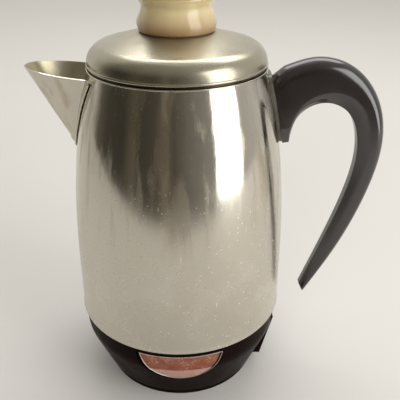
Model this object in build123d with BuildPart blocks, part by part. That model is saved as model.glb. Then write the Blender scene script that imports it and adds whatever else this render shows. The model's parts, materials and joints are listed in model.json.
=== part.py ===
"""Electric coffee percolator: steel pot on a moulded base, with lid, pump, basket and heater.

Millimetres. The origin is on the table at the pot's axis, +Z is up, +X points to the handle,
-X to the spout and -Y to the badge.
"""

import os
from math import acos, atan2, cos, degrees, hypot, pi, radians, sin

from build123d import *

# Clearances
weld_gap = 0.05            # between curved faces that are welded or pressed together
floor_gap = 0.15           # between the pot wall and the edge of its floor
seat_gap = 0.3             # between a loose piece and what it rests on
slip_gap = 0.4             # radial room of a piece that slides on the pump tube
pocket_gap = 0.3           # round a piece that sits in a moulded pocket
hole_gap = 0.25            # radial room of a screw or wire in its hole

# Base moulding
base_height = 49.4
base_inset = 1.6           # from the pot's side in to the base's
base_wall = 3.5
shoulder_height = 36.0     # where the taper of the base begins
shoulder_round = 20.0
toe_inset = 12.9           # from the base's side in to the lower end of its taper
foot_inset = 1.9           # from the end of the taper in to the foot ring
foot_height = 4.5
foot_ring_width = 4.0
lip_width = 6.0            # inward reach of the lip that carries the pot
lip_thickness = 3.0
ledge_height = 6.5         # underside of the ledge that the bottom cover meets
ledge_thickness = 3.0
ledge_width = 4.0
gasket_thickness = 0.6

# Pot
sheet = 0.9                # steel thickness of the pot
body_height = 163.7        # from the pot's lower edge to its rim
belly_radius = 69.1
belly_rise = 25.0          # height of the straight lower wall
wall_curve = 2.5           # power of the curve from the belly to the neck
neck_radius = 53.5
rim_radius = 54.1
rim_depth = 1.6
hem_proud = 0.35
hem_depth = 1.6
well_radius = 17.0         # heater well in the middle of the floor
well_depth = 14.0

# Spout
spout_reach = 37.5         # from the pot's neck to the tip
spout_half_width = 21.3
spout_lip_drop = 3.7       # from the rim down to the lip at the pot
spout_tip_rise = 4.0
spout_depth = 40.2         # from the lip to the lower point
spout_point_radius = 3.0
spout_point_stand = 1.8    # from the wall to the middle of the lower point
spout_floor = 3.0
flange_width = 5.0
flange_thickness = 0.9
flange_round = 3.0
strainer_radius = 2.6
strainer_pitch = 7.6
strainer_rows = 4
strainer_rise = 11.0       # from the spout's lower point up to the first row

# Handle and its bracket
bracket_thickness = 1.8
bracket_top_drop = 4.0     # from the rim down to the bracket's upper edge
bracket_height = 43.0
bracket_top_width = 22.0
bracket_foot_width = 13.0
bracket_round = 4.0
lug_drop = 17.0            # from the rim down to the lug that keys the handle
lug_size = 8.0
lug_length = 7.0
handle_drop = 5.7          # from the rim down to the upper end of the root
handle_width = 19.0
handle_bevel = 8.0         # depth of the bevels beside the inner flat
handle_bevel_in = 4.5      # how far the bevels reach in from the sides
handle_crown = 0.34        # share of a section's depth that its outer curve takes, up to a half round
screw_drop = 37.0          # from the rim down to the handle screw
screw_radius = 2.0
screw_head_radius = 3.6
screw_head_height = 2.4
screw_grip = 4.6           # from the bracket to the seat of the screw head
screw_bite = 1.5           # how far the screw goes into the bracket
screw_slot = 1.0

# Side outline of the handle, from the upper end of its root
handle_outer = [
    (7.4, 5.4), (26.7, 10.9), (47.5, 6.2), (65.9, -13.4),
    (72.3, -35.0), (67.3, -77.3), (51.4, -120.5), (31.6, -157.7),
]
handle_inner = [
    (12.6, -41.5), (17.4, -24.6), (32.5, -16.2), (47.3, -21.5),
    (55.6, -38.4), (53.2, -75.0), (41.4, -114.0), (28.2, -151.3),
]
handle_sections = 22
handle_tip_share = 0.5     # width of the tip as a share of the root's
handle_taper = 0.9         # power of the curve by which the width falls
root_overlap = 9.0         # how far the root is drawn into the bracket before it is trimmed

# Badge
badge_half_chord = 27.0
badge_depth = 22.2
badge_drop = 2.6           # from the top of the base to the badge's straight edge
badge_thickness = 0.8
badge_frame = 2.2
badge_frame_proud = 0.9

# Mains inlet
shroud_half_width = 20.0
shroud_low = 7.5
shroud_high = 40.0
shroud_low_inset = 10.1    # from the base's side in to the shroud's lower edge
shroud_high_inset = 1.9    # from the base's side in to the shroud's upper edge
shroud_depth = 17.5        # from the base's side in to the shroud's back
inlet_height = 24.0
inlet_setback = 8.0        # from the shroud's back in to the inlet's flange
inlet_width = 26.0
inlet_tall = 14.0
inlet_frame = 3.5
inlet_flange = 3.0
inlet_front_inset = 8.0    # from the base's side in to the inlet's front
inlet_wall = 1.8
inlet_back_wall = 3.0
pin_pitch = 12.7
pin_radius = 2.38
pin_length = 13.0
pin_tip_round = 1.19
pin_shank_radius = 3.2
pin_tail = 4.0
pin_tail_radius = 1.6
inlet_screw_radius = 1.1
inlet_screw_head = 1.7
inlet_screw_length = 9.0

# Lid and knob
skirt_gap = 0.6            # between the lid skirt and the mouth
skirt_depth = 11.5
skirt_flange = 1.5
lid_groove = 0.5           # how far the flange stands in from the lid's side
lid_sheet = 0.8
lid_bead = 0.9             # radius of the rolled lower edge
lid_radius = 53.6
lid_height = 18.7          # from the lid's lower edge to the knob seat
lid_seat_radius = 22.0
lid_crown_rise = 8.5       # from the shoulder's corner up to the knob seat
lid_shoulder = 11.5        # radius of the rounded shoulder
lid_hole_radius = 14.6
knob_radius = 23.3
knob_waist_radius = 20.6
knob_cap_radius = 23.4
knob_edge = 1.0            # how far the edges draw in
knob_height = 34.0
knob_bead_rise = 4.5
knob_waist_rise = 13.7
knob_cap_rise = 17.2
knob_cap_side = 6.0
knob_cap_round = 5.0
knob_foot_lean = 0.4       # outward lean of the side at its lower edge
knob_cap_lean = 0.5        # outward lean of the side at the cap
knob_wall = 3.4
knob_neck_wall = 2.4
knob_seal = 0.7
knob_neck_gap = 0.6
lug_reach = 2.4            # how far the knob's lugs stand out of its neck
knob_lug_height = 1.8
knob_lug_arc = 34.0        # degrees
knob_turn = 60.0           # degrees from locked to free

# Pump, basket and spreader
tube_radius = 4.0
tube_bore = 3.3
tube_above_seat = 2.5      # how far the tube stands above the knob seat
bell_radius = 14.6
bell_height = 15.0
bell_collar_height = 6.0
bell_sheet = 0.8
bell_waist_radius = 13.1
bell_waist_rise = 7.5
bell_lean = 0.5            # rise of the bell where it meets its collar
bell_notch = 3.0
bell_notches = 4
tube_foot_radius = 6.0
tube_foot_lift = 2.0
valve_radius = 8.6
valve_thickness = 1.2
collar_radius = 7.5
collar_height = 3.0
basket_floor_drop = 68.0   # from the rim down to the basket's floor
basket_radius = 46.0
basket_height = 54.0
basket_sheet = 0.8
basket_sleeve_height = 9.0
hole_radius = 1.3
hole_first_ring = 14.0
hole_ring_pitch = 8.0
hole_ring_count = 4
hole_pitch = 8.5
spreader_rim_width = 2.6
spreader_dish = 3.0

# Heater and other electrical pieces
heater_tube = 3.0
heater_gap_angle = 30.0    # half the angle left open between the heater's ends
leg_clearance = 7.05       # from the mains pins up to the heater's ends
clamp_radius = 26.0
clamp_thickness = 2.5
stud_radius = 2.5
nut_height = 3.4
nut_flats = 8.0
washer_radius = 6.0
washer_thickness = 1.0
cover_thickness = 1.2
shield_thickness = 1.0
warm_inner = 30.0
warm_outer = 48.0
warm_thickness = 2.8
warm_arc = 250.0
thermostat_place = 38.0    # distance from the pot axis
thermostat_radius = 8.5
thermostat_height = 11.0
clip_width = 8.0
clip_thickness = 1.0
clip_length = 24.0
blade_pitch = 8.0
blade_length = 5.0
blade_thickness = 1.0
blade_width = 4.0
lead_radius = 1.3
lead_bend = 4.0
wire_clearance = 8.0       # from the heat shield up to the wires
wire_front = 12.7          # where the wire to the thermostat reaches its level
wire_back = 24.7           # where it turns to the thermostat
return_turn = 13.3         # where the wire back to the heater turns
return_side = 8.4

# Heights and radii that follow from the sizes above
base_radius = belly_radius - base_inset
toe_radius = base_radius - toe_inset
foot_radius = toe_radius - foot_inset
lip_radius = base_radius - base_wall - lip_width
shroud_low_reach = base_radius - shroud_low_inset
shroud_high_reach = base_radius - shroud_high_inset
shroud_back = base_radius - shroud_depth
inlet_seat = shroud_back - inlet_setback
inlet_front = base_radius - inlet_front_inset
pot_low = base_height + gasket_thickness
floor_top = pot_low + sheet
well_low = pot_low - well_depth
well_floor = well_low + sheet
rim_height = pot_low + body_height
belly_height = pot_low + belly_rise
mouth_radius = neck_radius - sheet
skirt_radius = mouth_radius - skirt_gap
lid_low = rim_height + seat_gap
cover_low = lid_low + skirt_flange
seat_height = cover_low + lid_height
knob_low = seat_height + knob_seal
neck_radius_knob = lid_hole_radius - knob_neck_gap
handle_top = rim_height - handle_drop
cover_top = ledge_height
shield_low = ledge_height + ledge_thickness
basket_low = rim_height - basket_floor_drop
basket_top = basket_low + basket_height
tube_top = seat_height + tube_above_seat
lip_height = rim_height - spout_lip_drop
point_height = lip_height - spout_depth


def wall_radius(height):
    """Outer radius of the pot wall at a height above the table."""
    rise = max(0.0, height - belly_height) / (rim_height - belly_height)
    return belly_radius - (belly_radius - neck_radius) * rise**wall_curve


def wall_points(low, high, proud, steps=10):
    """Points up the pot wall, standing proud of its outer face."""
    heights = [low + (high - low) * step / steps for step in range(steps + 1)]
    return [(wall_radius(height) + proud, height) for height in heights]


def wall_band(low, high, near, far):
    """Half section of a band that follows the pot wall between two stand-off distances."""
    with BuildSketch(Plane.XZ) as band:
        with BuildLine():
            inside = Spline(*wall_points(low, high, near))
            outside = Spline(*wall_points(low, high, far))
            Line(inside @ 0, outside @ 0)
            Line(inside @ 1, outside @ 1)
        make_face()
    return band.sketch


def wall_core(low, high, proud):
    """Half section of everything inside the pot wall, out to a stand-off distance."""
    with BuildSketch(Plane.XZ) as core:
        with BuildLine():
            outside = Spline(*wall_points(low, high, proud))
            Polyline(outside @ 1, (0, high), (0, low), outside @ 0)
        make_face()
    return core.sketch


def taper_radius(height):
    """Outer radius of the base's taper at a height."""
    share = (height - foot_height) / (shoulder_height - foot_height)
    return toe_radius + (base_radius - toe_radius) * share


def base_outline(low, inset):
    """Outline of the base's side from a height up to its top, moved inwards."""
    return FilletPolyline(
        (taper_radius(low) - inset, low),
        (base_radius - inset, shoulder_height),
        (base_radius - inset, base_height),
        radius=shoulder_round,
    )


def base_band(near, far):
    """Half section of a band that follows the base's side between two stand-off distances."""
    with BuildSketch(Plane.XZ) as band:
        with BuildLine():
            inside = base_outline(foot_height, -near)
            outside = base_outline(foot_height, -far)
            Line(inside @ 0, outside @ 0)
            Line(inside @ 1, outside @ 1)
        make_face()
    return band.sketch


def half_moon(grow):
    """Badge outline on the front, grown by a margin."""
    radius = (badge_half_chord**2 + badge_depth**2) / (2 * badge_depth)
    straight = base_height - badge_drop
    with BuildSketch(Plane.XZ) as moon:
        with Locations((0, straight - badge_depth + radius)):
            Circle(radius + grow)
        with Locations((0, straight + grow)):
            Rectangle(4 * radius, 4 * radius, align=(Align.CENTER, Align.MIN), mode=Mode.SUBTRACT)
    return moon.sketch


def hex_nut(low):
    """Nut on the centre stud, from a height upwards."""
    with BuildPart() as nut:
        with BuildSketch(Plane.XY.offset(low)):
            RegularPolygon(nut_flats / 2, 6, major_radius=False)
            Circle(stud_radius + weld_gap, mode=Mode.SUBTRACT)
        extrude(amount=nut_height)
    return nut


def ring(inner, outer, low, thickness):
    """Flat ring about the pot axis."""
    with BuildPart() as flat_ring:
        with BuildSketch(Plane.XY.offset(low)):
            Circle(outer)
            Circle(inner, mode=Mode.SUBTRACT)
        extrude(amount=thickness)
    return flat_ring


def dome(radius, low, high):
    """Arc of a ball's cap, from a radius up to the pot axis."""
    rise = high - low
    ball = (radius**2 + rise**2) / (2 * rise)
    start = degrees(acos(radius / ball))
    return CenterArc((0, high - ball), ball, start, 90 - start)


def knob_lug(turn, low, grow):
    """Outline of the knob's lug, or with a margin of its notch in the lid."""
    reach = neck_radius_knob + lug_reach + grow
    half = knob_lug_arc / 2 + degrees(grow / reach)
    with BuildSketch(Plane.XY.offset(low)) as lug:
        with BuildLine():
            tip = CenterArc((0, 0), reach, turn - half, 2 * half)
            Polyline(tip @ 0, (0, 0), tip @ 1)
        make_face()
        Circle(neck_radius_knob - lug_reach / 2, mode=Mode.SUBTRACT)
    return lug.sketch


def lead(points):
    """Insulated wire along straight runs joined by arcs."""
    start = Vector(*points[0])
    with BuildPart() as wire:
        with BuildLine() as path:
            FilletPolyline(*points, radius=lead_bend)
        with BuildSketch(Plane(origin=start, z_dir=Vector(*points[1]) - start)):
            Circle(lead_radius)
        sweep(path=path.wires()[0])
    return wire


# Pot: a drawn wall with a rolled rim and hem, and a floor with the heater well welded into it
with BuildPart() as pot_body:
    with BuildSketch(Plane.XZ):
        with BuildLine():
            hem_top = pot_low + hem_depth
            hem_middle = (belly_radius + hem_proud, pot_low + hem_depth / 2)
            rim_middle = (rim_radius, rim_height - rim_depth / 2)
            outside = Spline(*wall_points(hem_top, rim_height - rim_depth, 0))
            inside = Spline(*wall_points(pot_low, rim_height, -sheet))
            rim = ThreePointArc(outside @ 1, rim_middle, (neck_radius, rim_height))
            Line(rim @ 1, inside @ 1)
            hem = ThreePointArc(outside @ 0, hem_middle, (belly_radius, pot_low))
            Line(inside @ 0, hem @ 1)
        make_face()
    revolve(axis=Axis.Z)
    with BuildSketch(Plane.YZ):
        for row in range(strainer_rows):
            height = point_height + strainer_rise + row * strainer_pitch
            with Locations((0, height)):
                with GridLocations(strainer_pitch, 0, row + 1, 1):
                    Circle(strainer_radius)
    extrude(amount=-2 * belly_radius, mode=Mode.SUBTRACT)

with BuildPart() as pot_floor:
    with BuildSketch(Plane.XZ):
        with BuildLine():
            floor_radius = belly_radius - sheet - floor_gap
            Polyline(
                (floor_radius, floor_top),
                (well_radius, floor_top),
                (well_radius, well_floor),
                (0, well_floor),
                (0, well_low),
                (well_radius + sheet, well_low),
                (well_radius + sheet, pot_low),
                (floor_radius, pot_low),
                close=True,
            )
        make_face()
    revolve(axis=Axis.Z)

# Spout: an oblique half cone with a flange that follows the wall
lip_tilt = atan2(spout_tip_rise, spout_reach)
point_place = wall_radius(point_height) + spout_point_stand
lip_plane = Plane(
    origin=(-wall_radius(lip_height), 0, lip_height),
    x_dir=(-cos(lip_tilt), 0, sin(lip_tilt)),
    z_dir=(sin(lip_tilt), 0, cos(lip_tilt)),
)
point_plane = Plane(origin=(-point_place, 0, point_height), x_dir=(-1, 0, 0), z_dir=(0, 0, 1))
trough_plane = Plane(origin=(-point_place, 0, point_height + spout_floor), x_dir=(-1, 0, 0), z_dir=(0, 0, 1))
lip_length = hypot(spout_reach, spout_tip_rise)

with BuildPart() as spout_flange:
    revolve(
        wall_band(point_height - flange_width, lip_height, weld_gap, weld_gap + flange_thickness),
        axis=Axis.Z,
    )
    with BuildSketch(Plane.YZ) as flange_outline:
        with BuildLine():
            top_half = spout_half_width + flange_width
            Polyline(
                (-top_half, lip_height),
                (top_half, lip_height),
                (top_half, lip_height - flange_width),
                (spout_point_radius / 2, point_height - flange_width),
                (-spout_point_radius / 2, point_height - flange_width),
                (-top_half, lip_height - flange_width),
                close=True,
            )
        make_face()
        fillet(flange_outline.vertices().group_by(Axis.Y)[-1], flange_round)
    extrude(amount=-2 * belly_radius, mode=Mode.INTERSECT)

with BuildPart() as spout:
    with BuildSketch(lip_plane):
        Ellipse(lip_length, spout_half_width)
    with BuildSketch(point_plane):
        Circle(spout_point_radius)
    loft()
    revolve(
        wall_core(point_height - 3 * flange_width, rim_height + spout_depth, weld_gap + flange_thickness / 2),
        axis=Axis.Z,
        mode=Mode.SUBTRACT,
    )
    add(spout_flange.part)
    with BuildSketch(lip_plane.offset(weld_gap)):
        Ellipse(lip_length - sheet, spout_half_width - sheet)
    with BuildSketch(trough_plane):
        Circle(spout_point_radius - sheet)
    loft(mode=Mode.SUBTRACT)

# Bracket between the pot and the handle
bracket_top = rim_height - bracket_top_drop
bracket_low = bracket_top - bracket_height
lug_height = rim_height - lug_drop
lug_root = wall_radius(lug_height) + bracket_thickness / 2
lug_tip = wall_radius(lug_height) + bracket_thickness + lug_length
screw_height = rim_height - screw_drop
screw_face = wall_radius(screw_height) + bracket_thickness
screw_seat = screw_face + screw_grip

with BuildPart() as handle_bracket:
    revolve(wall_band(bracket_low, bracket_top, weld_gap, bracket_thickness), axis=Axis.Z)
    with BuildSketch(Plane.YZ) as bracket_outline:
        with BuildLine():
            Polyline(
                (-bracket_top_width / 2, bracket_top),
                (bracket_top_width / 2, bracket_top),
                (bracket_foot_width / 2, bracket_low),
                (-bracket_foot_width / 2, bracket_low),
                close=True,
            )
        make_face()
        fillet(bracket_outline.vertices(), bracket_round)
    extrude(amount=2 * belly_radius, mode=Mode.INTERSECT)
    with Locations(((lug_root + lug_tip) / 2, 0, lug_height)):
        Box(lug_tip - lug_root, lug_size, lug_size)
    with Locations((screw_face, 0, screw_height)):
        Cylinder(screw_radius + weld_gap, 3 * bracket_thickness, rotation=(0, 90, 0), mode=Mode.SUBTRACT)

# Handle: a horn lofted through its stations, with its root trimmed to the bracket
handle_origin = (wall_radius(handle_top) + bracket_thickness, handle_top)


def handle_section(outer, inner, width):
    """Section of the handle: inner flat, two bevels, flat sides and a crowned outer face."""
    across = hypot(outer[0] - inner[0], outer[1] - inner[1])
    toward_outer = Vector((outer[0] - inner[0]) / across, 0, (outer[1] - inner[1]) / across)
    plane = Plane(
        origin=(handle_origin[0] + inner[0], 0, handle_origin[1] + inner[1]),
        x_dir=toward_outer,
        z_dir=toward_outer.cross(Vector(0, 1, 0)),
    )
    bevel = handle_bevel * width / handle_width
    flat = (handle_width / 2 - handle_bevel_in) * width / handle_width
    side = width / 2
    crown = across - min(across * handle_crown, side)
    with BuildSketch(plane) as section:
        with BuildLine():
            Polyline(
                (crown, side),
                (bevel, side),
                (0, flat),
                (0, -flat),
                (bevel, -side),
                (crown, -side),
            )
            ThreePointArc((crown, -side), (across, 0), (crown, side))
        make_face()
    return section.sketch


with BuildLine(Plane.XZ):
    outer_edge = Spline(*handle_outer)
with BuildLine(Plane.XZ):
    inner_edge = Spline(*handle_inner)


def handle_at(share):
    """Section of the handle at a share of its length."""
    width = handle_width * (1 - (1 - handle_tip_share) * share**handle_taper)
    outer = outer_edge @ share
    inner = inner_edge @ share
    return handle_section((outer.X, outer.Z), (inner.X, inner.Z), width)


sections = [handle_at(step / (handle_sections - 1)) for step in range(handle_sections)]
root_outer = (handle_outer[0][0] - root_overlap - bracket_thickness, handle_outer[0][1] - root_overlap)
root_inner = (handle_inner[0][0] - root_overlap - bracket_thickness, handle_inner[0][1] - bracket_thickness)

with BuildPart() as handle:
    loft(sections=sections)
    loft(sections=[handle_section(root_outer, root_inner, handle_width), sections[0]], ruled=True)
    revolve(
        wall_core(0, rim_height + bracket_height, bracket_thickness + weld_gap),
        axis=Axis.Z,
        mode=Mode.SUBTRACT,
    )
    with Locations(((lug_root + lug_tip) / 2, 0, lug_height)):
        pocket = lug_size + 2 * pocket_gap
        Box(lug_tip - lug_root + 2 * pocket_gap, pocket, pocket, mode=Mode.SUBTRACT)
    with Locations((screw_seat, 0, screw_height)):
        Cylinder(screw_radius + hole_gap, 3 * screw_grip, rotation=(0, 90, 0), mode=Mode.SUBTRACT)
        Cylinder(
            screw_head_radius + hole_gap,
            3 * screw_head_height,
            rotation=(0, 90, 0),
            align=(Align.CENTER, Align.CENTER, Align.MIN),
            mode=Mode.SUBTRACT,
        )

with BuildPart() as handle_screw:
    with BuildSketch(Plane.YZ.offset(screw_seat)):
        with Locations((0, screw_height)):
            Circle(screw_head_radius)
    extrude(amount=screw_head_height)
    with BuildSketch(Plane.YZ.offset(screw_seat)):
        with Locations((0, screw_height)):
            Circle(screw_radius)
    extrude(amount=-screw_grip - screw_bite)
    with Locations((screw_seat + screw_head_height, 0, screw_height)):
        Box(screw_head_height, 3 * screw_head_radius, screw_slot, mode=Mode.SUBTRACT)

# Base moulding
ledge_radius = taper_radius(ledge_height) - base_wall - ledge_width
foot_inner = foot_radius - foot_ring_width
tunnel_width = inlet_width + 2 * inlet_frame
tunnel_tall = inlet_tall + 2 * inlet_frame
inlet_screw_place = (inlet_width + inlet_frame) / 2


def inlet_pair(place):
    """Two points either side of the inlet's middle, on its seat."""
    return (inlet_seat, place, inlet_height), (inlet_seat, -place, inlet_height)


with BuildPart() as base_shell:
    with BuildSketch(Plane.XZ):
        with BuildLine():
            side = base_outline(foot_height, 0)
            cavity = FilletPolyline(
                (taper_radius(shield_low) - base_wall, shield_low),
                (base_radius - base_wall, shoulder_height),
                (base_radius - base_wall, base_height - lip_thickness),
                radius=shoulder_round,
            )
            Polyline(
                cavity @ 0,
                (ledge_radius, shield_low),
                (ledge_radius, ledge_height),
                (foot_inner, ledge_height),
                (foot_inner, 0),
                (foot_radius, 0),
                (foot_radius, foot_height),
                side @ 0,
            )
            Polyline(
                side @ 1,
                (lip_radius, base_height),
                (lip_radius, base_height - lip_thickness),
                cavity @ 1,
            )
        make_face()
    revolve(axis=Axis.Z)
    with BuildSketch(Plane.XZ):
        with BuildLine():
            Polyline(
                (shroud_back, shroud_low),
                (shroud_low_reach, shroud_low),
                (shroud_high_reach, shroud_high),
                (shroud_back, shroud_high),
                close=True,
            )
        make_face()
    extrude(amount=shroud_half_width, both=True)
    with Locations((inlet_seat, 0, inlet_height)):
        Box(
            shroud_back + base_wall - inlet_seat,
            tunnel_width,
            tunnel_tall,
            align=(Align.MIN, Align.CENTER, Align.CENTER),
        )
        Box(
            base_radius,
            inlet_width + 2 * pocket_gap,
            inlet_tall + 2 * pocket_gap,
            align=(Align.MIN, Align.CENTER, Align.CENTER),
            mode=Mode.SUBTRACT,
        )
    with Locations(*inlet_pair(inlet_screw_place)):
        Cylinder(
            inlet_screw_radius + weld_gap,
            2 * inlet_screw_length,
            rotation=(0, 90, 0),
            mode=Mode.SUBTRACT,
        )

with BuildPart() as badge_rim:
    revolve(base_band(-badge_thickness, badge_frame_proud), axis=Axis.Z)
    extrude(half_moon(badge_frame), amount=2 * base_radius, mode=Mode.INTERSECT)
    extrude(half_moon(pocket_gap), amount=2 * base_radius, mode=Mode.SUBTRACT)

with BuildPart() as badge_pocket:
    revolve(base_band(-weld_gap, 2 * badge_thickness), axis=Axis.Z)
    extrude(half_moon(pocket_gap), amount=2 * base_radius, mode=Mode.INTERSECT)

with base_shell:
    add(badge_rim.part)
    add(badge_pocket.part, mode=Mode.SUBTRACT)

with BuildPart() as badge:
    revolve(base_band(0, badge_thickness), axis=Axis.Z)
    extrude(half_moon(0), amount=2 * base_radius, mode=Mode.INTERSECT)

gasket = ring(lip_radius, base_radius - base_wall, base_height, gasket_thickness)

# Mains inlet
inlet_recess = inlet_seat + inlet_back_wall
with BuildPart() as inlet_block:
    with Locations((inlet_seat - inlet_flange, 0, inlet_height)):
        Box(inlet_flange, tunnel_width, tunnel_tall, align=(Align.MIN, Align.CENTER, Align.CENTER))
    with Locations((inlet_seat, 0, inlet_height)):
        Box(inlet_front - inlet_seat, inlet_width, inlet_tall, align=(Align.MIN, Align.CENTER, Align.CENTER))
    fillet(inlet_block.edges().filter_by(Axis.X).group_by(Axis.X)[-1], inlet_wall)
    with Locations((inlet_recess, 0, inlet_height)):
        Box(
            inlet_front,
            inlet_width - 2 * inlet_wall,
            inlet_tall - 2 * inlet_wall,
            align=(Align.MIN, Align.CENTER, Align.CENTER),
            mode=Mode.SUBTRACT,
        )
    with Locations(*inlet_pair(pin_pitch / 2)):
        Cylinder(pin_shank_radius + weld_gap, inlet_front, rotation=(0, 90, 0), mode=Mode.SUBTRACT)
    with Locations(*inlet_pair(inlet_screw_place)):
        Cylinder(inlet_screw_radius + hole_gap, 3 * inlet_flange, rotation=(0, 90, 0), mode=Mode.SUBTRACT)

pin_inner = inlet_seat - inlet_flange
with BuildPart() as inlet_pins:
    for place in (-pin_pitch / 2, pin_pitch / 2):
        with BuildSketch(Plane.YZ.offset(pin_inner)):
            with Locations((place, inlet_height)):
                Circle(pin_shank_radius)
        extrude(amount=inlet_recess - pin_inner)
        with BuildSketch(Plane.YZ.offset(inlet_recess)):
            with Locations((place, inlet_height)):
                Circle(pin_radius)
        extrude(amount=pin_length)
        with BuildSketch(Plane.YZ.offset(pin_inner)):
            with Locations((place, inlet_height)):
                Circle(pin_tail_radius)
        extrude(amount=-pin_tail)
    fillet(inlet_pins.edges().group_by(Axis.X)[-1], pin_tip_round)

with BuildPart() as inlet_screws:
    for place in (-inlet_screw_place, inlet_screw_place):
        with BuildSketch(Plane.YZ.offset(pin_inner)):
            with Locations((place, inlet_height)):
                Circle(inlet_screw_head)
        extrude(amount=-inlet_screw_head)
        with BuildSketch(Plane.YZ.offset(pin_inner)):
            with Locations((place, inlet_height)):
                Circle(inlet_screw_radius)
        extrude(amount=inlet_screw_length)

# Lid
lid_slope = lid_crown_rise / (lid_radius - lid_seat_radius)
lid_slant = lid_sheet * hypot(1, lid_slope)


def lid_line(inset, drop):
    """Lid profile from its lower edge over the shoulder to the hole, moved inwards."""
    return FilletPolyline(
        (lid_radius - inset, cover_low),
        (lid_radius - inset, seat_height - lid_crown_rise + lid_slope * inset - drop),
        (lid_seat_radius, seat_height - drop),
        (lid_hole_radius, seat_height - drop),
        radius=[lid_shoulder - inset, lid_shoulder],
    )


with BuildPart() as lid_cover:
    with BuildSketch(Plane.XZ):
        with BuildLine():
            outside = lid_line(0, 0)
            inside = lid_line(lid_sheet, lid_slant)
            Line(outside @ 0, inside @ 0)
            Line(outside @ 1, inside @ 1)
        make_face()
    revolve(axis=Axis.Z)
    with BuildSketch(Plane.XZ):
        with Locations((lid_radius - lid_bead / 2, cover_low + lid_bead)):
            Circle(lid_bead)
    revolve(axis=Axis.Z)
    for turn in (knob_turn, knob_turn + 180):
        extrude(knob_lug(turn, seat_height, hole_gap), amount=-3 * lid_sheet, mode=Mode.SUBTRACT)

with BuildPart() as lid_skirt:
    with BuildSketch(Plane.XZ):
        with BuildLine():
            inner = skirt_radius - lid_sheet
            flange_edge = lid_radius - lid_groove
            Polyline(
                (inner, lid_low - skirt_depth),
                (skirt_radius, lid_low - skirt_depth),
                (skirt_radius, lid_low),
                (flange_edge, lid_low),
                (flange_edge, cover_low),
                (inner, cover_low),
                close=True,
            )
        make_face()
    revolve(axis=Axis.Z)

# Knob: hollow, so that the coffee shows, with two lugs that lock under the lid
knob_top = knob_low + knob_height
neck_low = seat_height - lid_slant - seat_gap - knob_lug_height
cap_low = knob_low + knob_cap_rise
dome_low = cap_low + knob_cap_side
bore = neck_radius_knob - knob_neck_wall
hollow = knob_waist_radius - knob_wall
with BuildPart() as knob:
    with BuildSketch(Plane.XZ) as knob_section:
        with BuildLine():
            side = Spline(
                (knob_radius - knob_edge, knob_low),
                (knob_radius, knob_low + knob_bead_rise),
                (knob_waist_radius, knob_low + knob_waist_rise),
                (knob_cap_radius - knob_edge, cap_low),
                tangents=[(knob_foot_lean, 1), (knob_cap_lean, 1)],
            )
            Polyline(side @ 1, (knob_cap_radius, cap_low + knob_edge), (knob_cap_radius, dome_low))
            dome(knob_cap_radius, dome_low, knob_top)
            Polyline(
                side @ 0,
                (neck_radius_knob, knob_low),
                (neck_radius_knob, neck_low),
                (bore, neck_low),
                (bore, knob_low + knob_wall),
                (hollow, knob_low + 2 * knob_wall),
                (hollow, dome_low),
            )
            dome(hollow, dome_low, knob_top - knob_wall)
            Line((0, knob_top - knob_wall), (0, knob_top))
        make_face()
        fillet(knob_section.vertices().sort_by_distance((knob_cap_radius, dome_low))[0], knob_cap_round)
    revolve(axis=Axis.Z)
    for turn in (0, 180):
        extrude(knob_lug(turn, neck_low, 0), amount=knob_lug_height)

knob_washer = ring(lid_hole_radius + hole_gap, lid_seat_radius - hole_gap, seat_height, knob_seal)

# Pump
bell_low = well_floor + seat_gap
tube_low = bell_low + tube_foot_lift
with BuildPart() as pump_tube:
    with BuildSketch(Plane.XY.offset(tube_low)):
        Circle(tube_foot_radius)
    extrude(amount=valve_thickness)
    with BuildSketch(Plane.XY.offset(tube_low)):
        Circle(tube_radius)
    extrude(amount=tube_top - tube_low)
    with BuildSketch(Plane.XY.offset(tube_low)):
        Circle(tube_bore)
    extrude(amount=tube_top - tube_low, mode=Mode.SUBTRACT)

bell_top = bell_low + bell_height
with BuildPart() as pump_bell:
    with BuildSketch(Plane.XZ):
        with BuildLine():
            grip = tube_radius + weld_gap
            flare = Spline(
                (bell_radius, bell_low),
                (bell_waist_radius, bell_low + bell_waist_rise),
                (grip + bell_sheet, bell_top),
                tangents=[(0, 1), (-1, bell_lean)],
            )
            throat = Spline(
                (bell_radius - bell_sheet, bell_low),
                (bell_waist_radius - bell_sheet, bell_low + bell_waist_rise - bell_sheet),
                (grip, bell_top - bell_sheet),
                tangents=[(0, 1), (-1, bell_lean)],
            )
            Polyline(
                flare @ 1,
                (grip + bell_sheet, bell_top + bell_collar_height),
                (grip, bell_top + bell_collar_height),
                throat @ 1,
            )
            Line(flare @ 0, throat @ 0)
        make_face()
    revolve(axis=Axis.Z)
    with PolarLocations(bell_radius, bell_notches):
        Box(2 * bell_notch, bell_notch, 2 * bell_notch, mode=Mode.SUBTRACT)

valve_low = tube_low + valve_thickness + seat_gap
pump_valve = ring(tube_radius + slip_gap, valve_radius, valve_low, valve_thickness)

collar_low = basket_low - seat_gap - collar_height
basket_collar = ring(tube_radius + weld_gap, collar_radius, collar_low, collar_height)

# Basket and spreader
sleeve_bore = tube_radius + slip_gap


def hole_pattern():
    """Rings of small holes about the pot axis, in the open sketch."""
    for step in range(hole_ring_count):
        radius = hole_first_ring + step * hole_ring_pitch
        count = round(2 * pi * radius / hole_pitch)
        with PolarLocations(radius, count):
            Circle(hole_radius)


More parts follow.
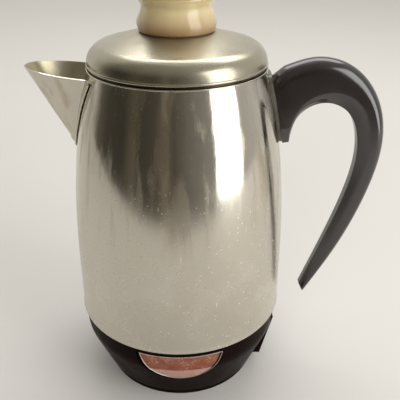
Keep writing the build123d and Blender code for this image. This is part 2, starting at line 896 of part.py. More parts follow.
with BuildPart() as basket:
    with BuildSketch(Plane.XZ):
        with BuildLine():
            Polyline(
                (sleeve_bore, basket_low),
                (basket_radius, basket_low),
                (basket_radius, basket_top),
                (basket_radius - basket_sheet, basket_top),
                (basket_radius - basket_sheet, basket_low + basket_sheet),
                (sleeve_bore + basket_sheet, basket_low + basket_sheet),
                (sleeve_bore + basket_sheet, basket_low + basket_sleeve_height),
                (sleeve_bore, basket_low + basket_sleeve_height),
                close=True,
            )
        make_face()
    revolve(axis=Axis.Z)
    with BuildSketch(Plane.XY.offset(basket_low)):
        hole_pattern()
    extrude(amount=basket_sheet, mode=Mode.SUBTRACT)

spreader_low = basket_top + seat_gap
spreader_edge = basket_radius - basket_sheet - slip_gap
with BuildPart() as spreader:
    with BuildSketch(Plane.XZ):
        with BuildLine():
            top = spreader_low + basket_sheet
            dish = spreader_low - spreader_dish
            Polyline(
                (sleeve_bore, dish),
                (spreader_edge, dish),
                (spreader_edge, spreader_low),
                (spreader_edge + spreader_rim_width, spreader_low),
                (spreader_edge + spreader_rim_width, top),
                (spreader_edge - basket_sheet, top),
                (spreader_edge - basket_sheet, dish + basket_sheet),
                (sleeve_bore, dish + basket_sheet),
                close=True,
            )
        make_face()
    revolve(axis=Axis.Z)
    with BuildSketch(Plane.XY.offset(dish)):
        hole_pattern()
    extrude(amount=basket_sheet, mode=Mode.SUBTRACT)

# Heater under the well, held by a plate on the centre stud
heater_ring = well_radius + sheet + weld_gap + heater_tube
heater_height = well_low + weld_gap + heater_tube
leg_low = inlet_height + leg_clearance
leg_x = heater_ring * cos(radians(heater_gap_angle))
leg_y = heater_ring * sin(radians(heater_gap_angle))
clamp_low = well_low - clamp_thickness

with BuildPart() as heating_element:
    start = Plane(
        origin=(0, 0, 0),
        x_dir=(cos(radians(heater_gap_angle)), sin(radians(heater_gap_angle)), 0),
        z_dir=(sin(radians(heater_gap_angle)), -cos(radians(heater_gap_angle)), 0),
    )
    with BuildSketch(start):
        with Locations((heater_ring, heater_height)):
            Circle(heater_tube)
    revolve(axis=Axis.Z, revolution_arc=360 - 2 * heater_gap_angle)
    with Locations((leg_x, leg_y, heater_height), (leg_x, -leg_y, heater_height)):
        Sphere(heater_tube)
        Cylinder(heater_tube, heater_height - leg_low, align=(Align.CENTER, Align.CENTER, Align.MAX))

with BuildPart() as heater_clamp:
    with BuildSketch(Plane.XY.offset(clamp_low)):
        Circle(clamp_radius)
        Circle(stud_radius + hole_gap, mode=Mode.SUBTRACT)
        with Locations((leg_x, leg_y), (leg_x, -leg_y)):
            Circle(heater_tube + hole_gap, mode=Mode.SUBTRACT)
    extrude(amount=clamp_thickness)

clamp_nut = hex_nut(clamp_low - nut_height)
washer_low = cover_top - cover_thickness - washer_thickness
base_washer = ring(stud_radius + hole_gap, washer_radius, washer_low, washer_thickness)
base_nut_low = washer_low - nut_height
base_nut = hex_nut(base_nut_low)

with BuildPart() as centre_stud:
    with BuildSketch(Plane.XY.offset(base_nut_low)):
        Circle(stud_radius)
    extrude(amount=well_low - base_nut_low)

cover_edge = foot_inner - hole_gap
bottom_cover = ring(stud_radius + hole_gap, cover_edge, cover_top - cover_thickness, cover_thickness)
heat_shield = ring(stud_radius + hole_gap, shroud_back - pocket_gap, shield_low, shield_thickness)

# Keep-warm heater under the pot floor, open on the thermostat's side
with BuildPart() as warm_heater:
    first = -warm_arc / 2
    start = Plane(
        origin=(0, 0, 0),
        x_dir=(cos(radians(first)), sin(radians(first)), 0),
        z_dir=(sin(radians(first)), -cos(radians(first)), 0),
    )
    with BuildSketch(start):
        with Locations(((warm_inner + warm_outer) / 2, pot_low - warm_thickness / 2)):
            Rectangle(warm_outer - warm_inner, warm_thickness)
    revolve(axis=Axis.Z, revolution_arc=warm_arc)

# Thermostat pressed to the pot floor by a clip
thermostat_low = pot_low - thermostat_height
with BuildPart() as thermostat:
    with BuildSketch(Plane.XY.offset(thermostat_low)):
        with Locations((-thermostat_place, 0)):
            Circle(thermostat_radius)
    extrude(amount=thermostat_height)

blade_low = thermostat_low - blade_length
with BuildPart() as thermostat_blades:
    for place in (-blade_pitch / 2, blade_pitch / 2):
        with Locations((-thermostat_place, place, thermostat_low)):
            Box(blade_width, blade_thickness, blade_length, align=(Align.CENTER, Align.CENTER, Align.MAX))

clip_low = thermostat_low - clip_thickness
with BuildPart() as thermostat_clip:
    with Locations((-thermostat_place, 0, thermostat_low)):
        Box(clip_width, clip_length, clip_thickness, align=(Align.CENTER, Align.CENTER, Align.MAX))
    for side_of in (-1, 1):
        with Locations((-thermostat_place, side_of * clip_length / 2, clip_low)):
            Box(
                clip_width,
                clip_thickness,
                pot_low - clip_low,
                align=(Align.CENTER, Align.MAX if side_of > 0 else Align.MIN, Align.MIN),
            )
    with Locations((-thermostat_place, 0, clip_low)):
        with GridLocations(0, blade_pitch, 1, 2):
            slot_width = blade_width + 2 * hole_gap
            slot_depth = blade_thickness + 2 * hole_gap
            Box(slot_width, slot_depth, 3 * clip_thickness, mode=Mode.SUBTRACT)

# Wires inside the base: mains pin to heater, mains pin to thermostat, thermostat to heater
pin_end = pin_inner - pin_tail
wire_turn = (pin_end + leg_x) / 2
wire_level = shield_low + shield_thickness + wire_clearance
return_level = wire_level + 2 * lead_radius
heater_lead = lead([
    (leg_x, leg_y, leg_low),
    (leg_x, leg_y, inlet_height),
    (wire_turn, pin_pitch / 2, inlet_height),
    (pin_end, pin_pitch / 2, inlet_height),
])
thermostat_lead = lead([
    (pin_end, -pin_pitch / 2, inlet_height),
    (wire_turn, -pin_pitch / 2, inlet_height),
    (wire_front, -2 * leg_y, wire_level),
    (-wire_back, -2 * leg_y, wire_level),
    (-thermostat_place, -blade_pitch / 2, wire_level),
    (-thermostat_place, -blade_pitch / 2, blade_low),
])
return_lead = lead([
    (-thermostat_place, blade_pitch / 2, blade_low),
    (-thermostat_place, blade_pitch / 2, return_level),
    (-return_turn, -return_side, return_level),
    (leg_x, -leg_y, return_level),
    (leg_x, -leg_y, leg_low),
])

pieces = {
    "pot_body": pot_body,
    "pot_floor": pot_floor,
    "spout": spout,
    "handle_bracket": handle_bracket,
    "handle": handle,
    "handle_screw": handle_screw,
    "base_shell": base_shell,
    "badge": badge,
    "gasket": gasket,
    "inlet_block": inlet_block,
    "inlet_pins": inlet_pins,
    "inlet_screws": inlet_screws,
    "lid_cover": lid_cover,
    "lid_skirt": lid_skirt,
    "knob": knob,
    "knob_washer": knob_washer,
    "pump_tube": pump_tube,
    "pump_bell": pump_bell,
    "pump_valve": pump_valve,
    "basket_collar": basket_collar,
    "basket": basket,
    "spreader": spreader,
    "heating_element": heating_element,
    "heater_clamp": heater_clamp,
    "clamp_nut": clamp_nut,
    "centre_stud": centre_stud,
    "base_washer": base_washer,
    "base_nut": base_nut,
    "bottom_cover": bottom_cover,
    "heat_shield": heat_shield,
    "warm_heater": warm_heater,
    "thermostat": thermostat,
    "thermostat_blades": thermostat_blades,
    "thermostat_clip": thermostat_clip,
    "heater_lead": heater_lead,
    "thermostat_lead": thermostat_lead,
    "return_lead": return_lead,
}

os.makedirs("parts", exist_ok=True)
for name, piece in pieces.items():
    piece.part.label = name
    export_step(piece.part, f"parts/{name}.step")
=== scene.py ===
"""Electric coffee percolator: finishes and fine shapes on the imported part, and how it is shown.

Sizes are in millimetres in the part's own frame: the origin is on the table at the pot's axis,
+Z is up, +X points to the handle, -X to the spout and -Y to the badge.
"""

import json
from math import asin, atan2, cos, degrees, hypot, pi, radians, sin, sqrt, tan

import bmesh
import bpy
import numpy as np
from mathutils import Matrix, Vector


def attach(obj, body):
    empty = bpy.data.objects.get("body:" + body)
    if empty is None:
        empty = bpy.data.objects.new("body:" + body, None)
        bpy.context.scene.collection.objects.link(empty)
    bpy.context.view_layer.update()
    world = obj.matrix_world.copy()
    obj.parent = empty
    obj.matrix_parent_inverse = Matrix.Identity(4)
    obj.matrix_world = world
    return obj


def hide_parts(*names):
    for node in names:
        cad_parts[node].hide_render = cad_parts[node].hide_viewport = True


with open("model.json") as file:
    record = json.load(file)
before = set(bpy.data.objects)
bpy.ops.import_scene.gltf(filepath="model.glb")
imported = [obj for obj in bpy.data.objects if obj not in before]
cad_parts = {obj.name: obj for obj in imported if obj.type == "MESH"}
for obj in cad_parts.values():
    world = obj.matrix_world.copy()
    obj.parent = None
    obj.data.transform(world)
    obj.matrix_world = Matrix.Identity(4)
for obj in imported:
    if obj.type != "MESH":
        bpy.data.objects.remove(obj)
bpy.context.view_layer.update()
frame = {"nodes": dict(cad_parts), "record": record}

MM = 0.001
TURN_STEPS = 192           # faces round a turned piece
SHARP = 35                 # degrees over which an edge of a piece stays sharp
NODE_SHARP = 32            # the same for a CAD node

# Pot
pot_low = 50.0
rim_height = 213.7
belly_height = 75.0
belly_radius = 69.1
neck_radius = 53.5
wall_curve = 2.5           # power by which the wall draws in to the neck
sheet = 0.9
floor_top = 50.9
floor_corner = 3.0         # radius between the wall and the floor
well_radius = 17.0
well_low = 36.0
well_corner = 2.0          # radius between the floor and the well
rim_top = 214.3
rim_roll = 0.5             # radius of the rolled rim
rim_place = 53.75
hem_proud = 0.35
hem_depth = 1.6
hem_edge = 0.25            # softening of the hem's lower edge
hem_tuck = 0.2             # how far the hem's underside is tucked in
strainer_radius = 2.6
strainer_pitch = 7.6
strainer_low = 180.8
strainer_rows = 4
strainer_place = 62.0      # middle of the rods that cut the holes, from the pot's axis
strainer_length = 30.0

# Spout
lip_height = 210.0
spout_reach = 36.7
spout_half_width = 19.6
spout_tip_rise = 4.0
spout_edge = 0.38          # rounding of the sheet's edges
spout_steps = 56           # rows from the lip to the cone's lower end
point_height = 169.8
point_radius = 3.0
point_stand = 1.8
seat_search = (60, 178)    # degrees from the tip between which the cone meets the pot wall
seat_halvings = 40
flange_width = 7.4
flange_seat = 0.5          # middle of the flange's sheet off the pot wall
flange_lift = 0.5          # how far the flange's edge stands off more
flange_bend = 1.5          # reach of the bend between the spout and its flange
flange_bend_most = 0.3     # largest share of the cone's side that the bend takes
flange_corner = 2.2
nose_drop = 7.0            # from the cone's lower end to the flange's tip
nose_share = 0.6           # share of that drop over which the cone's end dies out
nose_least = 0.03          # share of the width that is left at the tip
nose_steps = 14

# Handle
bracket_thickness = 1.8
handle_top = 208.0
handle_width = 19.0
handle_bevel = 8.0
handle_bevel_in = 4.5
handle_crown = 0.34        # share of the depth that the round outer face takes
handle_tip_share = 0.5
handle_taper = 0.9
handle_soft = 1.4          # radius of its inner edges
handle_round = 12.0        # radius between its bevels and sides
handle_round_most = 3.4    # that radius at the most, by the straight length beside it
handle_steps = 110
handle_outer = [
    (7.4, 5.4), (26.7, 10.9), (47.5, 6.2), (65.9, -13.4),
    (72.3, -35.0), (67.3, -77.3), (51.4, -120.5), (31.6, -157.7),
]
handle_inner = [
    (12.6, -41.5), (17.4, -24.6), (32.5, -16.2), (47.3, -21.5),
    (55.6, -38.4), (53.2, -75.0), (41.4, -114.0), (28.2, -151.3),
]
root_outer = (-3.4, -3.6)
root_inner = (1.8, -43.3)
fit_low = 130.0            # heights between which it is trimmed to the bracket
fit_high = 225.0
fit_gap = 0.15
screw_height = 176.7
screw_grip = 4.6
screw_recess = 3.85
recess_length = 10.0

# Base
base_height = 49.4
base_radius = 67.5
shoulder_height = 36.0
shoulder_round = 20.0
toe_radius = 54.6
foot_height = 4.5

# Badge
badge_half_chord = 27.0
badge_depth = 22.2
badge_top = 46.8
badge_border = 0.8
badge_turn = 1.8           # degrees from the front towards the handle
badge_band = 10.5          # height of the plain band across the badge's lower end
badge_back = 0.1           # how far the backs of its plates stand off the base
field_proud = 0.55
band_proud = 0.72
ridge_width = 1.1          # the ridge is drawn this wide and then narrowed to the border
ridge = [
    (0, badge_back), (0, 0.7), (0.14, 0.86), (0.4, 0.93), (0.7, 0.93),
    (0.96, 0.86), (ridge_width, 0.7), (ridge_width, badge_back), (0, badge_back),
]

# Lid
cover_low = 215.5
seat_height = 234.2
lid_radius = 53.6
lid_sheet = 0.8
lid_drop = 0.83            # from the upper to the lower face of the sloping sheet
lid_bead = 0.9
lid_bead_turns = (113, 420)  # degrees
lid_side_low = 1.75        # from the lid's lower edge up to its straight side
lid_seat_radius = 22.0
lid_crown_rise = 8.5
lid_shoulder = 11.5
lid_hole_radius = 14.6


def linear(code):
    """Linear colour of an sRGB hex value."""
    channels = [int(code[place : place + 2], 16) / 255 for place in (1, 3, 5)]
    return [c / 12.92 if c <= 0.04045 else ((c + 0.055) / 1.055) ** 2.4 for c in channels] + [1.0]


def add(material, kind, result, inputs=None, **settings):
    """Adds a shader node with its settings and links, and gives the output that is asked for."""
    tree = material.node_tree
    node = tree.nodes.new("ShaderNode" + kind)
    for name, value in settings.items():
        setattr(node, name, value)
    for name, value in (inputs or {}).items():
        if isinstance(value, bpy.types.NodeSocket):
            tree.links.new(value, node.inputs[name])
        else:
            node.inputs[name].default_value = value
    return node.outputs[result] if result is not None else node


def new_material(name):
    """Empty node material."""
    material = bpy.data.materials.new(name)
    material.use_nodes = True
    material.node_tree.nodes.clear()
    return material


def close_material(material, inputs):
    """Gives a material its surface shader."""
    surface = add(material, "BsdfPrincipled", "BSDF", inputs)
    add(material, "OutputMaterial", None, {"Surface": surface})
    return material


# Sockets of a colour mix: its factor, its two colours and the colour that comes out
FACTOR, FIRST, SECOND, MIXED = 0, 6, 7, 2


def polished_steel(name, inside=False):
    """Polished stainless steel, worn: drips near the rim, haze and specks of scale lower down.

    The fine lines round it are drawn 1.6 mm apart, as coarse as they need to be to show.
    With inside set, a brown film of coffee lies in its hollow.
    """
    steel = new_material(name)
    place = add(steel, "TexCoord", "Object")
    height = add(steel, "SeparateXYZ", "Z", {"Vector": place})
    drawn = add(steel, "Mapping", "Vector", {"Vector": place, "Scale": (1, 1, 0.1)})
    around = add(steel, "Mapping", "Vector", {"Vector": place, "Scale": (0.12, 0.12, 1)})
    lined = {"Vector": around, "Scale": 1 / (1.6 * MM), "Detail": 3.0}
    lines = add(steel, "TexNoise", "Fac", lined)
    stains = add(steel, "TexNoise", "Fac", {"Vector": place, "Scale": 1 / (24 * MM), "Detail": 6.0})
    drips = add(steel, "TexNoise", "Fac", {"Vector": drawn, "Scale": 1 / (7 * MM), "Detail": 5.0})
    specks = add(steel, "TexVoronoi", "Distance", {"Vector": place, "Scale": 1 / (2.4 * MM)})
    ticks = add(steel, "TexVoronoi", "Distance", {"Vector": drawn, "Scale": 1 / (5 * MM)})
    chosen = add(steel, "SeparateColor", "Red", {"Color": specks.node.outputs["Color"]})

    falling = {"Value": height, "From Min": 175 * MM, "From Max": 110 * MM}
    low_down = add(steel, "MapRange", "Result", falling)
    rising = {"Value": low_down, "From Min": 0.9, "From Max": 0.3}
    high_up = add(steel, "MapRange", "Result", rising)
    streak = add(steel, "MapRange", "Result", {"Value": drips, "From Min": 0.5, "From Max": 0.66})
    drip = add(steel, "Math", "Value", {0: streak, 1: high_up}, operation="MULTIPLY")

    spot = add(steel, "MapRange", "Result", {"Value": specks, "From Min": 0.24, "From Max": 0.12})
    here = add(steel, "MapRange", "Result", {"Value": chosen, "From Min": 0.55, "From Max": 0.75})
    speck = add(steel, "Math", "Value", {0: spot, 1: here}, operation="MULTIPLY")
    tick = add(steel, "MapRange", "Result", {"Value": ticks, "From Min": 0.07, "From Max": 0.03})
    either = add(steel, "Math", "Value", {0: speck, 1: tick}, operation="MAXIMUM")
    crust = add(steel, "MapRange", "Result", {"Value": low_down, "To Min": 0.12, "To Max": 0.85})
    marks = add(steel, "Math", "Value", {0: either, 1: crust}, operation="MULTIPLY")

    cloud = add(steel, "MapRange", "Result", {"Value": stains, "From Min": 0.45, "From Max": 0.7})
    haze = add(steel, "MapRange", "Result", {"Value": low_down, "To Min": 0.02, "To Max": 0.13})
    smear = add(steel, "Math", "Value", {0: cloud, 1: haze}, operation="MULTIPLY")
    scale = add(steel, "Math", "Value", {0: marks, 1: smear}, operation="MAXIMUM")

    bare = {FACTOR: drip, FIRST: linear("#CBC5B8"), SECOND: linear("#BBB29F")}
    tone = add(steel, "Mix", MIXED, bare, data_type="RGBA")
    if inside:
        facing = add(steel, "NewGeometry", "Normal")
        upward = add(steel, "SeparateXYZ", "Z", {"Vector": facing})
        hollow = {0: upward.node.outputs["Y"], 1: height.node.outputs["Y"]}
        across = add(steel, "Math", "Value", hollow, operation="MULTIPLY")
        inward = {"Value": across, "From Min": 1.5 * MM, "From Max": 0.0}
        within = add(steel, "MapRange", "Result", inward)
        sloping = {"Value": upward, "From Min": 0.02, "From Max": 0.2}
        above = add(steel, "MapRange", "Result", sloping)
        level = {"Value": upward, "From Min": 0.93, "From Max": 0.8}
        edge = add(steel, "MapRange", "Result", level)
        bowl = add(steel, "Math", "Value", {0: above, 1: within}, operation="MULTIPLY")
        film = add(steel, "Math", "Value", {0: bowl, 1: edge}, operation="MULTIPLY")
        brown = add(steel, "MapRange", "Result", {"Value": film, "To Max": 0.5})
        stained = {FACTOR: brown, FIRST: tone, SECOND: linear("#ABA074")}
        tone = add(steel, "Mix", MIXED, stained, data_type="RGBA")
        drip = add(steel, "Math", "Value", {0: drip, 1: film}, operation="MAXIMUM")
    crusted = {FACTOR: scale, FIRST: tone, SECOND: linear("#E6E1D6")}
    rubbed = add(steel, "MapRange", "Result", {"Value": low_down, "To Min": 0.1, "To Max": 0.25})
    dulled = add(steel, "MapRange", "Result", {"Value": drip, "To Max": 0.22})
    worn = add(steel, "Math", "Value", {0: rubbed, 1: dulled}, operation="ADD")
    chalky = add(steel, "MapRange", "Result", {"Value": scale, "To Max": 0.4})
    bright = {"Value": scale, "To Min": 1.0, "To Max": 0.3}
    polish = {"Height": lines, "Strength": 0.035, "Distance": 0.1 * MM}
    wave = {"Height": drips, "Strength": 0.25, "Distance": 0.4 * MM}
    wave["Normal"] = add(steel, "Bump", "Normal", polish)
    return close_material(
        steel,
        {
            "Base Color": add(steel, "Mix", MIXED, crusted, data_type="RGBA"),
            "Metallic": add(steel, "MapRange", "Result", bright),
            "Roughness": add(steel, "Math", "Value", {0: worn, 1: chalky}, operation="ADD"),
            "Normal": add(steel, "Bump", "Normal", wave),
        },
    )


def satin_steel():
    """Spun stainless steel of the lid, satin from use; painted shade and dried coffee darken its
    lower edge.

    The fine rings from the spinning are drawn 0.7 mm apart, as coarse as they need to be to show.
    """
    steel = new_material("spun_stainless_steel")
    place = add(steel, "TexCoord", "Object")
    height = add(steel, "SeparateXYZ", "Z", {"Vector": place})
    flat = add(steel, "VectorMath", "Vector", {0: place, 1: (1, 1, 0)}, operation="MULTIPLY")
    radius = add(steel, "VectorMath", "Value", {0: flat}, operation="LENGTH")
    spun = {"W": radius, "Scale": 1 / (0.7 * MM), "Detail": 3.0}
    rings = add(steel, "TexNoise", "Fac", spun, noise_dimensions="1D")
    stains = add(steel, "TexNoise", "Fac", {"Vector": place, "Scale": 1 / (18 * MM), "Detail": 6.0})
    bare = {FACTOR: stains, FIRST: linear("#BDB7A5"), SECOND: linear("#A49D88")}
    tone = add(steel, "Mix", MIXED, bare, data_type="RGBA")
    # Painted shade: the lid's edge below 215.8 mm and its skirt go brown-black where the groove
    # over the pot's rim lies in shade, with some dried coffee there too
    groove = {"Value": height, "From Min": 215.8 * MM, "From Max": 215.4 * MM, "To Max": 0.92}
    skirt = {"Value": height, "From Min": 211.5 * MM, "From Max": 213.5 * MM}
    skirt |= {"To Min": 0.25, "To Max": 0.92}
    crust = add(steel, "MapRange", "Result", groove)
    film = add(steel, "MapRange", "Result", skirt)
    coffee_and_shade = add(steel, "Math", "Value", {0: crust, 1: film}, operation="MINIMUM")
    stained = {FACTOR: coffee_and_shade, FIRST: tone, SECOND: linear("#2A2118")}
    patchy = {"Value": stains, "From Min": 0.35, "From Max": 0.7, "To Min": 0.2, "To Max": 0.34}
    worn = add(steel, "MapRange", "Result", patchy)
    near_knob = {"Value": radius, "From Min": 46 * MM, "From Max": 32 * MM, "To Max": 0.16}
    handled = add(steel, "MapRange", "Result", near_knob)
    turned_marks = {"Height": rings, "Strength": 0.06, "Distance": 0.3 * MM}
    return close_material(
        steel,
        {
            "Base Color": add(steel, "Mix", MIXED, stained, data_type="RGBA"),
            "Metallic": 1.0,
            "Roughness": add(steel, "Math", "Value", {0: worn, 1: handled}, operation="ADD"),
            "Normal": add(steel, "Bump", "Normal", turned_marks),
        },
    )


def black_phenolic(name, roughness, gloss):
    """Compression-moulded phenolic: near black with a brown cast, dulled in patches by use."""
    phenolic = new_material(name)
    place = add(phenolic, "TexCoord", "Object")
    patches = {"Vector": place, "Scale": 1 / (14 * MM), "Detail": 5.0}
    cloud = add(phenolic, "TexNoise", "Fac", patches)
    moulded = {"Vector": place, "Scale": 1 / (1.2 * MM), "Detail": 2.0}
    grain = add(phenolic, "TexNoise", "Fac", moulded)
    tones = {FACTOR: cloud, FIRST: linear("#110705"), SECOND: linear("#1A0D0A")}
    dulled = {"Value": cloud, "From Min": 0.3, "From Max": 0.7}
    dulled |= {"To Min": roughness * 0.8, "To Max": roughness * 1.25}
    skin = {"Height": grain, "Strength": 0.03, "Distance": 0.2 * MM}
    return close_material(
        phenolic,
        {
            "Base Color": add(phenolic, "Mix", MIXED, tones, data_type="RGBA"),
            "Roughness": add(phenolic, "MapRange", "Result", dulled),
            "IOR": 1.6,
            "Specular IOR Level": gloss,
            "Normal": add(phenolic, "Bump", "Normal", skin),
        },
    )


def amber_plastic():
    """Clear moulded plastic, yellowed by heat: cloudy amber, brown low down and olive on top."""
    amber = new_material("yellowed_clear_plastic")
    place = add(amber, "TexCoord", "Object")
    height = add(amber, "SeparateXYZ", "Z", {"Vector": place})
    cloud = add(amber, "TexNoise", "Fac", {"Vector": place, "Scale": 1 / (7 * MM), "Detail": 5.0})
    tones = {FACTOR: cloud, FIRST: linear("#F9EAC4"), SECOND: linear("#EED59C")}
    body = add(amber, "Mix", MIXED, tones, data_type="RGBA")
    edge = {"Value": height, "From Min": 246.5 * MM, "From Max": 234.6 * MM, "To Max": 0.82}
    stain = add(amber, "MapRange", "Result", edge)
    stained = {FACTOR: stain, FIRST: body, SECOND: linear("#9A6A38")}
    lower = add(amber, "Mix", MIXED, stained, data_type="RGBA")
    cap = {"Value": height, "From Min": 252.8 * MM, "From Max": 254 * MM, "To Max": 0.5}
    film = add(amber, "MapRange", "Result", cap)
    splashed = {FACTOR: film, FIRST: lower, SECOND: linear("#A28C58")}
    return close_material(
        amber,
        {
            "Base Color": add(amber, "Mix", MIXED, splashed, data_type="RGBA"),
            "Roughness": 0.06,
            "IOR": 1.58,
            "Transmission Weight": 0.25,
            "Subsurface Weight": 0.5,
            "Subsurface Radius": (6 * MM, 4 * MM, 2 * MM),
            "Subsurface Scale": 1.0,
        },
    )


def plain_finish(name, first, second, patch, roughness, metallic=0.0):
    """Everyday finish of a small piece: two near tones in patches, with a little grain."""
    finish = new_material(name)
    place = add(finish, "TexCoord", "Object")
    patches = {"Vector": place, "Scale": 1 / (patch * MM), "Detail": 5.0}
    cloud = add(finish, "TexNoise", "Fac", patches)
    tones = {FACTOR: cloud, FIRST: linear(first), SECOND: linear(second)}
    worn = {"Value": cloud, "From Min": 0.3, "From Max": 0.7}
    worn |= {"To Min": roughness * 0.85, "To Max": roughness * 1.2}
    grain = {"Height": cloud, "Strength": 0.05, "Distance": 0.3 * MM}
    return close_material(
        finish,
        {
            "Base Color": add(finish, "Mix", MIXED, tones, data_type="RGBA"),
            "Metallic": metallic,
            "Roughness": add(finish, "MapRange", "Result", worn),
            "Normal": add(finish, "Bump", "Normal", grain),
        },
    )


def copper_plate(name, field, fleck):
    """Copper-coloured plate of the badge: a pinkish field worn pale in small flecks, in patches."""
    copper = new_material(name)
    place = add(copper, "TexCoord", "Object")
    rubbed = {"Vector": place, "Scale": 1 / (6 * MM), "Detail": 4.0}
    patches = add(copper, "TexNoise", "Fac", rubbed)
    chipped = {"Vector": place, "Scale": 1 / (0.8 * MM), "Detail": 3.0}
    flecks = add(copper, "TexNoise", "Fac", chipped)
    rubbed_through = {"Value": patches, "From Min": 0.35, "From Max": 0.65}
    where = add(copper, "MapRange", "Result", rubbed_through)
    chipped_through = {"Value": flecks, "From Min": 0.48, "From Max": 0.66}
    which = add(copper, "MapRange", "Result", chipped_through)
    worn = add(copper, "Math", "Value", {0: where, 1: which}, operation="MULTIPLY")
    tones = {FACTOR: worn, FIRST: linear(field), SECOND: linear(fleck)}
    bright = {"Value": worn, "To Min": 0.75, "To Max": 0.3}
    matt = {"Value": worn, "To Min": 0.32, "To Max": 0.5}
    return close_material(
        copper,
        {
            "Base Color": add(copper, "Mix", MIXED, tones, data_type="RGBA"),
            "Metallic": add(copper, "MapRange", "Result", bright),
            "Roughness": add(copper, "MapRange", "Result", matt),
        },
    )


finishes = {
    "polished_steel": polished_steel("polished_stainless_steel"),
    "satin_steel": satin_steel(),
    "black_phenolic": black_phenolic("moulded_black_phenolic", 0.18, 0.8),
    "amber_plastic": amber_plastic(),
    "badge_metal": copper_plate("worn_copper_plate", "#9C5B46", "#D3AA98"),
    "rubber_seal": plain_finish("moulded_rubber", "#191716", "#232120", 6, 0.7),
    "bright_aluminium": plain_finish("drawn_aluminium", "#C9C9C7", "#B9B9B6", 9, 0.3, 1.0),
    "plain_steel": plain_finish("zinc_plated_steel", "#A8A8A4", "#95958F", 4, 0.36, 1.0),
    "dull_aluminium": plain_finish("mill_finish_aluminium", "#ABABAA", "#9C9C9A", 8, 0.45, 1.0),
    "heater_sheath": plain_finish("heat_darkened_steel", "#6B635B", "#57483C", 6, 0.42, 1.0),
    "brass_contact": plain_finish("machined_brass", "#C2A15C", "#AD8A48", 3, 0.28, 1.0),
    "thermostat_case": plain_finish("moulded_brown_phenolic", "#5A4130", "#4B3527", 5, 0.45),
    "wire_sleeve": plain_finish("woven_glass_sleeve", "#D3CDBF", "#BFB7A6", 1.2, 0.85),
}

# CAD nodes keep their shape: their facets are shaded round and they take their slot's finish,
# apart from three that show wear of their own
slot_of = {row["node"]: row["material_slot"] for row in frame["record"]["subparts"]}
own_finish = {
    "base_shell": black_phenolic("heat_dulled_phenolic", 0.34, 0.02),
    "knob_washer": plain_finish("coffee_stained_rubber", "#6B5230", "#46341D", 3, 0.7),
    "handle_bracket": plain_finish("dulled_pressed_steel", "#8A857A", "#67635B", 5, 0.42, 1.0),
}
for node_name, node_object in frame["nodes"].items():
    node_object.data.materials.clear()
    node_object.data.materials.append(own_finish.get(node_name, finishes[slot_of[node_name]]))
    node_object.data.shade_smooth()
    node_object.data.set_sharp_from_angle(angle=radians(NODE_SHARP))


def wall_radius(height):
    """Outer radius of the pot wall at a height."""
    rise = max(0.0, height - belly_height) / (rim_height - belly_height)
    return belly_radius - (belly_radius - neck_radius) * rise**wall_curve


def spread(first, last, steps):
    """Even steps from one number to another, both included."""
    return [first + (last - first) * step / steps for step in range(steps + 1)]


def arc(centre, radius, first, last, steps):
    """Points on an arc, by angles in degrees."""
    turns = [radians(turn) for turn in spread(first, last, steps)]
    return [(centre[0] + radius * cos(turn), centre[1] + radius * sin(turn)) for turn in turns]


def rounded(points, radii, steps=12):
    """Outline through points with an arc at each inner corner."""
    line = [points[0]]
    for before, corner, after, radius in zip(points, points[1:], points[2:], radii):
        into = (Vector(before) - Vector(corner)).normalized()
        out = (Vector(after) - Vector(corner)).normalized()
        half = into.angle(out) / 2
        centre = Vector(corner) + (into + out).normalized() * radius / sin(half)
        first = Vector(corner) + into * radius / tan(half) - centre
        last = Vector(corner) + out * radius / tan(half) - centre
        start = atan2(first.y, first.x)
        swing = (atan2(last.y, last.x) - start + pi) % (2 * pi) - pi
        line += arc(centre, radius, degrees(start), degrees(start + swing), steps)
    return line + [points[-1]]


def smooth_line(points, steps):
    """Even points on a smooth curve through the given ones."""
    knots = np.array(points, float)
    place = np.concatenate([[0], np.cumsum(np.linalg.norm(np.diff(knots, axis=0), axis=1))])
    gap = np.diff(place)
    matrix = np.eye(len(knots))
    right = np.zeros_like(knots)
    for row in range(1, len(knots) - 1):
        matrix[row, row - 1 : row + 2] = gap[row - 1], 2 * (gap[row - 1] + gap[row]), gap[row]
        right[row] = 6 * (
            (knots[row + 1] - knots[row]) / gap[row] - (knots[row] - knots[row - 1]) / gap[row - 1]
        )
    bend = np.linalg.solve(matrix, right)
    fine = np.linspace(0, place[-1], 40 * len(knots))
    span = np.clip(np.searchsorted(place, fine, side="right") - 1, 0, len(gap) - 1)
    width = gap[span][:, None]
    low = (place[span + 1] - fine)[:, None]
    high = (fine - place[span])[:, None]
    curve = (bend[span] * low**3 + bend[span + 1] * high**3) / (6 * width)
    curve += (knots[span] / width - bend[span] * width / 6) * low
    curve += (knots[span + 1] / width - bend[span + 1] * width / 6) * high
    run = np.concatenate([[0], np.cumsum(np.linalg.norm(np.diff(curve, axis=0), axis=1))])
    even = np.linspace(0, run[-1], steps + 1)
    across, up = (np.interp(even, run, curve[:, axis]) for axis in range(2))
    return list(zip(across, up))


def turned(profile, loop=True, steps=TURN_STEPS):
    """Turned mesh from (radius, height) points; a point on the axis becomes one vertex."""
    mesh = bmesh.new()
    rings = []
    for radius, height in profile:
        turns = spread(0, 2 * pi, steps)[:-1] if radius > 0.001 else [0]
        places = [(radius * cos(turn) * MM, radius * sin(turn) * MM, height * MM) for turn in turns]
        rings.append([mesh.verts.new(place) for place in places])
    for low, high in zip(rings, rings[1:] + (rings[:1] if loop else [])):
        for step in range(steps):
            after = (step + 1) % steps
            corners = [
                low[step % len(low)], low[after % len(low)],
                high[after % len(high)], high[step % len(high)],
            ]
            corners = list(dict.fromkeys(corners))
            if len(corners) > 2:
                mesh.faces.new(corners)
    return mesh


